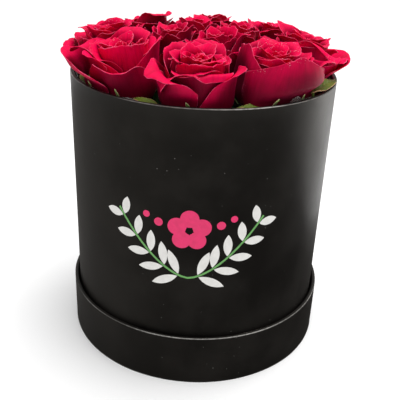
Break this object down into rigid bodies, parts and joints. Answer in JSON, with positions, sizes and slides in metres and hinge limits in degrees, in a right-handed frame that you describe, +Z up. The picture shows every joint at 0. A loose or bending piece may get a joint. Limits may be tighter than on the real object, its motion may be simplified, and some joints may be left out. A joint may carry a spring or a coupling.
{
  "type": "flower box",
  "caption": "Round paper-covered board drum standing in its upturned lid, holding a dozen cut roses in film-lined wet foam.",
  "frame": {"origin": "centre of the lid's underside, where the flower box stands on a table", "axes": "+Z up along the drum's axis, -Y towards the printed front"},
  "size_m": [0.188, 0.188, 0.2262],
  "materials": {
    "black_wrap": "satin",
    "grey_board": "matte",
    "lining_paper": "matte",
    "print_white": "satin",
    "print_green": "satin",
    "print_pink": "satin",
    "clear_film": "gloss",
    "wet_foam": "matte",
    "rose_petal": "matte",
    "rose_green": "satin",
    "leaf_green": "satin"
  },
  "bodies": {
    "lid": {"lid_face_paper": "black_wrap", "lid_panel": "grey_board", "lid_band": "grey_board", "lid_wrap": "black_wrap", "lid_lining": "lining_paper"},
    "drum": {"drum_base_paper": "black_wrap", "drum_floor": "grey_board", "drum_wall": "grey_board", "drum_wrap": "black_wrap", "drum_lining": "lining_paper", "print_leaves": "print_white", "print_twigs": "print_green", "print_blossoms": "print_pink"},
    "insert": {"film_liner": "clear_film", "foam_block": "wet_foam", "rose_1_bloom": "rose_petal", "rose_1_calyx": "rose_green", "rose_1_stem": "rose_green", "rose_2_bloom": "rose_petal", "rose_2_calyx": "rose_green", "rose_2_stem": "rose_green", "rose_3_bloom": "rose_petal", "rose_3_calyx": "rose_green", "rose_3_stem": "rose_green", "rose_4_bloom": "rose_petal", "rose_4_calyx": "rose_green", "rose_4_stem": "rose_green", "rose_5_bloom": "rose_petal", "rose_5_calyx": "rose_green", "rose_5_stem": "rose_green", "rose_6_bloom": "rose_petal", "rose_6_calyx": "rose_green", "rose_6_stem": "rose_green", "rose_7_bloom": "rose_petal", "rose_7_calyx": "rose_green", "rose_7_stem": "rose_green", "rose_8_bloom": "rose_petal", "rose_8_calyx": "rose_green", "rose_8_stem": "rose_green", "rose_9_bloom": "rose_petal", "rose_9_calyx": "rose_green", "rose_9_stem": "rose_green", "rose_10_bloom": "rose_petal", "rose_10_calyx": "rose_green", "rose_10_stem": "rose_green", "rose_11_bloom": "rose_petal", "rose_11_calyx": "rose_green", "rose_11_stem": "rose_green", "rose_12_bloom": "rose_petal", "rose_12_calyx": "rose_green", "rose_12_stem": "rose_green", "leaf_1": "leaf_green", "leaf_2": "leaf_green", "leaf_3": "leaf_green", "leaf_4": "leaf_green", "leaf_5": "leaf_green", "leaf_6": "leaf_green"}
  },
  "joints": [
    {"name": "drum_lift", "type": "slide", "parent": "lid", "child": "drum", "axis": [0, 0, 1], "range_m": [0, 0.045]},
    {"name": "insert_lift", "type": "slide", "parent": "drum", "child": "insert", "axis": [0, 0, 1], "range_m": [0, 0.195]}
  ]
}
